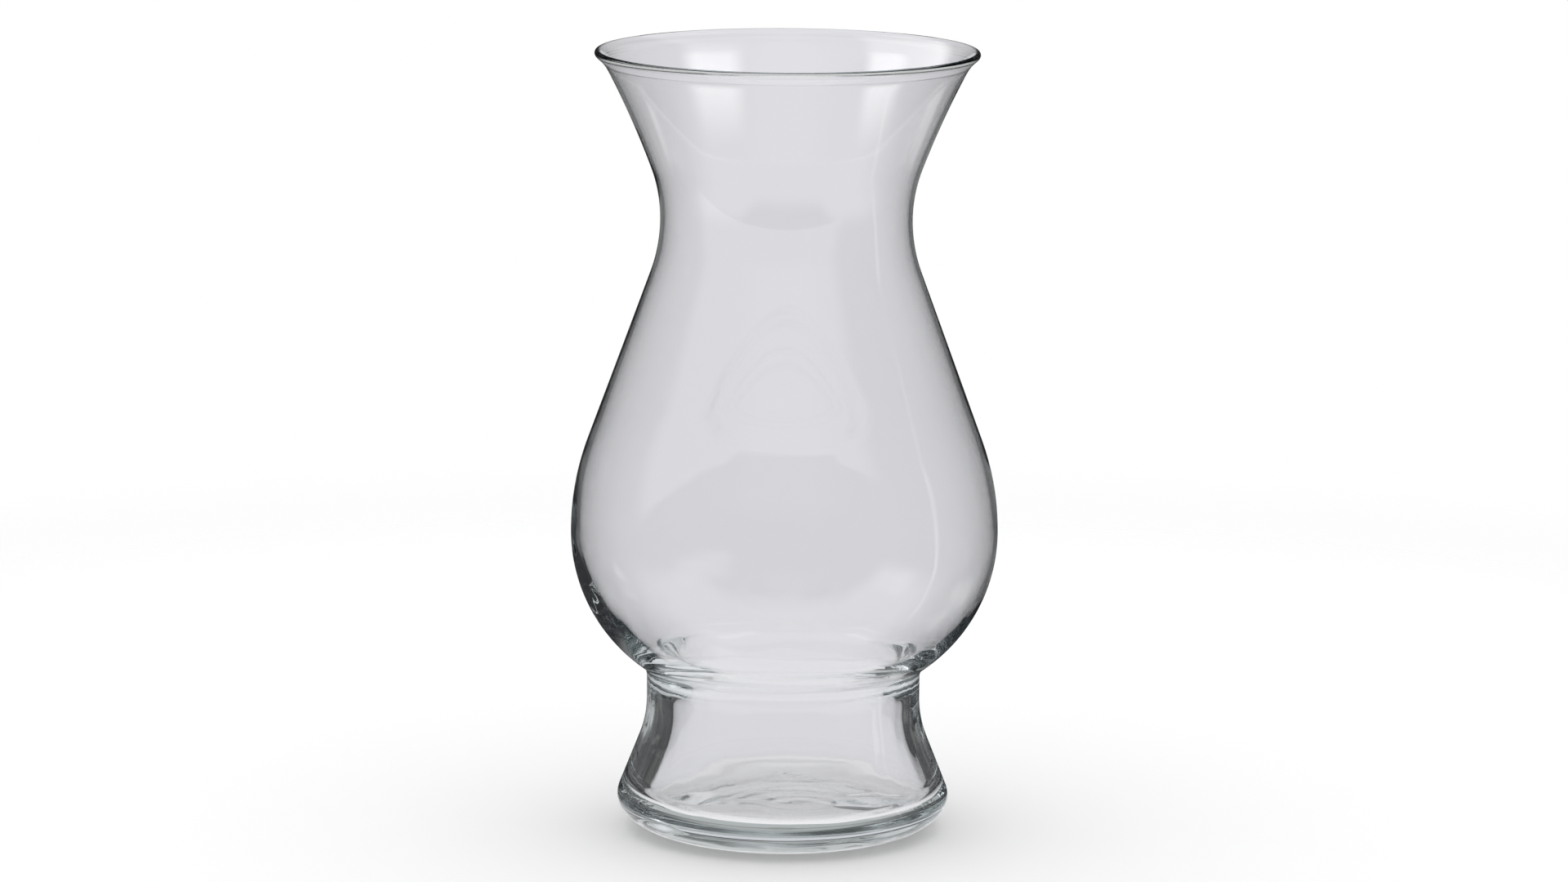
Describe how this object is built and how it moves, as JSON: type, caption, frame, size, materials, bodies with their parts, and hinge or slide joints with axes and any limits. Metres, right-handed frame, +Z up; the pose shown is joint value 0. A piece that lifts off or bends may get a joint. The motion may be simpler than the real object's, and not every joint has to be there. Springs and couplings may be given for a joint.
{
  "type": "bulb forcing vase",
  "caption": "Clear glass bulb-forcing vase: a flared cup holds the bulb on a narrow waist, over a round water bowl on a thick hollow foot.",
  "frame": {"origin": "centre of the ring that the vase stands on, at table level", "axes": "+Z up along the axis of turning; X and Y are alike, and the picture looks along +Y"},
  "size_m": [0.0922, 0.0922, 0.17],
  "materials": {
    "clear_glass": "fire-polished clear soda-lime glass, faintly grey-green where it is thick"
  },
  "bodies": {
    "root": {"rim_bead": "clear_glass", "bulb_cup": "clear_glass", "waist_ring": "clear_glass", "bowl_shoulder": "clear_glass", "water_bowl": "clear_glass", "foot_wall": "clear_glass", "heel_ring": "clear_glass", "base_disc": "clear_glass"}
  },
  "joints": []
}
